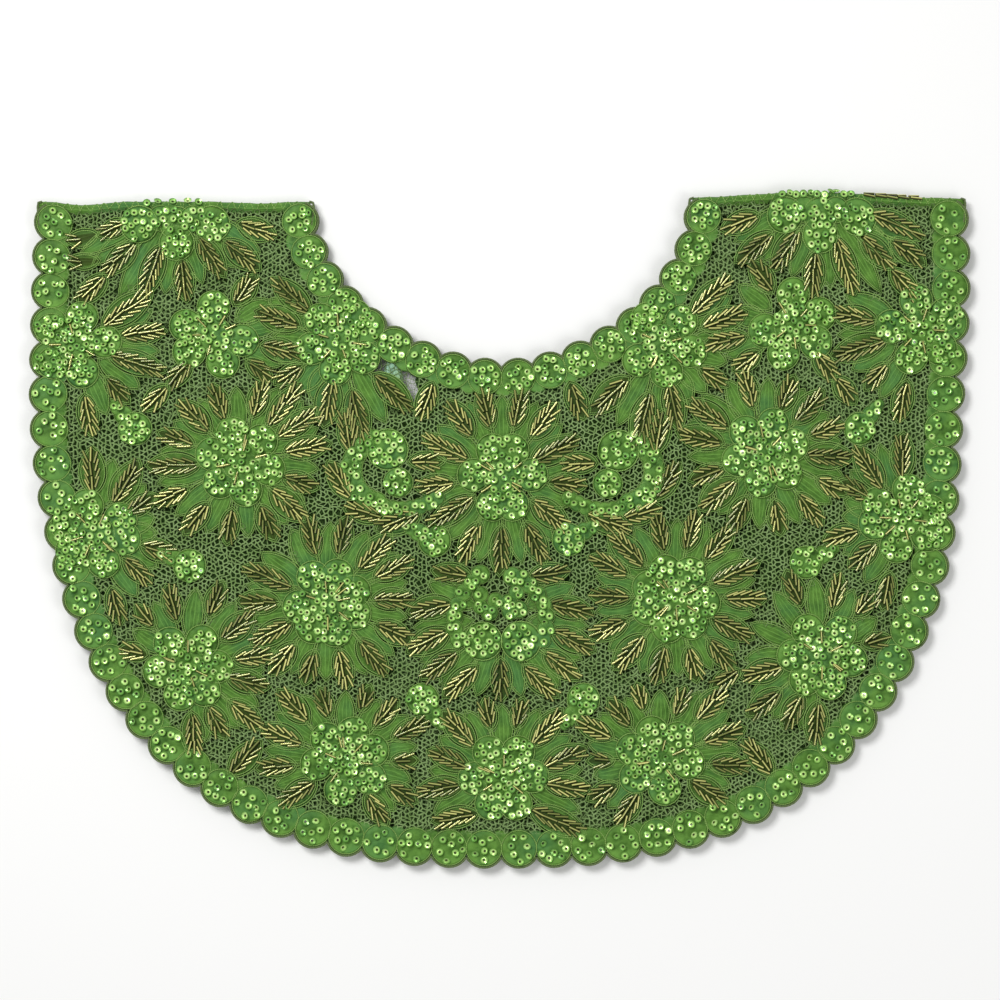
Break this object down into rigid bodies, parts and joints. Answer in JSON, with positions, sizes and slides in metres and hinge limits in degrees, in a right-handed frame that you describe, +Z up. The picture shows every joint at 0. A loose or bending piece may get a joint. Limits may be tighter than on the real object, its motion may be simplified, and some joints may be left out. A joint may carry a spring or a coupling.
{
  "type": "beaded lace tree skirt",
  "caption": "Green beaded lace ring folded in half and laid flat, with sequin flowers, sprays of bugle-bead leaves, and scalloped hem and neck edges.",
  "frame": {"origin": "middle of the footprint, on the surface the folded skirt lies on", "axes": "+X along the fold, +Y from the bottom hem towards the fold, +Z up, out of the front layer"},
  "size_m": [0.468, 0.3346, 0.0088],
  "materials": {
    "net": "matte needle net",
    "organza": "sheer satin organza with a corded edge",
    "leaf_work": "organza leaves sewn with glossy bugle beads",
    "sequins": "glossy cup sequins"
  },
  "bodies": {
    "back_layer": {"back_beadwork": "leaf_work", "back_hem_scallops": "organza", "back_neck_scallops_left": "organza", "back_neck_scallops_right": "organza", "back_net": "net"},
    "front_layer": {"front_curl_inner_left": "sequins", "front_curl_inner_right": "sequins", "front_drop_inner_left": "sequins", "front_drop_inner_right": "sequins", "front_drop_lower_left": "sequins", "front_drop_lower_right": "sequins", "front_drop_middle_left": "sequins", "front_drop_middle_right": "sequins", "front_drop_upper_left": "sequins", "front_drop_upper_right": "sequins", "front_flower_bottom_centre": "sequins", "front_flower_bottom_left": "sequins", "front_flower_bottom_right": "sequins", "front_flower_fold_left": "sequins", "front_flower_fold_right": "sequins", "front_flower_lower_centre": "sequins", "front_flower_lower_left": "sequins", "front_flower_lower_right": "sequins", "front_flower_lower_side_left": "sequins", "front_flower_lower_side_right": "sequins", "front_flower_middle_left": "sequins", "front_flower_middle_right": "sequins", "front_flower_middle_side_left": "sequins", "front_flower_middle_side_right": "sequins", "front_flower_neck_left": "sequins", "front_flower_neck_right": "sequins", "front_flower_upper_centre": "sequins", "front_flower_upper_left": "sequins", "front_flower_upper_right": "sequins", "front_flower_upper_side_left": "sequins", "front_flower_upper_side_right": "sequins", "front_hem_scallops": "organza", "front_neck_scallops": "organza", "front_net": "net", "front_spray_bottom_centre": "leaf_work", "front_spray_bottom_left": "leaf_work", "front_spray_bottom_right": "leaf_work", "front_spray_fold_left": "leaf_work", "front_spray_fold_right": "leaf_work", "front_spray_lower_centre": "leaf_work", "front_spray_lower_left": "leaf_work", "front_spray_lower_right": "leaf_work", "front_spray_lower_side_left": "leaf_work", "front_spray_lower_side_right": "leaf_work", "front_spray_middle_left": "leaf_work", "front_spray_middle_right": "leaf_work", "front_spray_middle_side_left": "leaf_work", "front_spray_middle_side_right": "leaf_work", "front_spray_neck_left": "leaf_work", "front_spray_neck_right": "leaf_work", "front_spray_upper_centre": "leaf_work", "front_spray_upper_left": "leaf_work", "front_spray_upper_right": "leaf_work", "front_spray_upper_side_left": "leaf_work", "front_spray_upper_side_right": "leaf_work"}
  },
  "joints": [
    {"name": "shoulder_fold", "type": "hinge", "parent": "back_layer", "child": "front_layer", "pos_m": [0, 0.1677, 0.0044], "axis": [-1, 0, 0], "range_deg": [0, 180]}
  ]
}
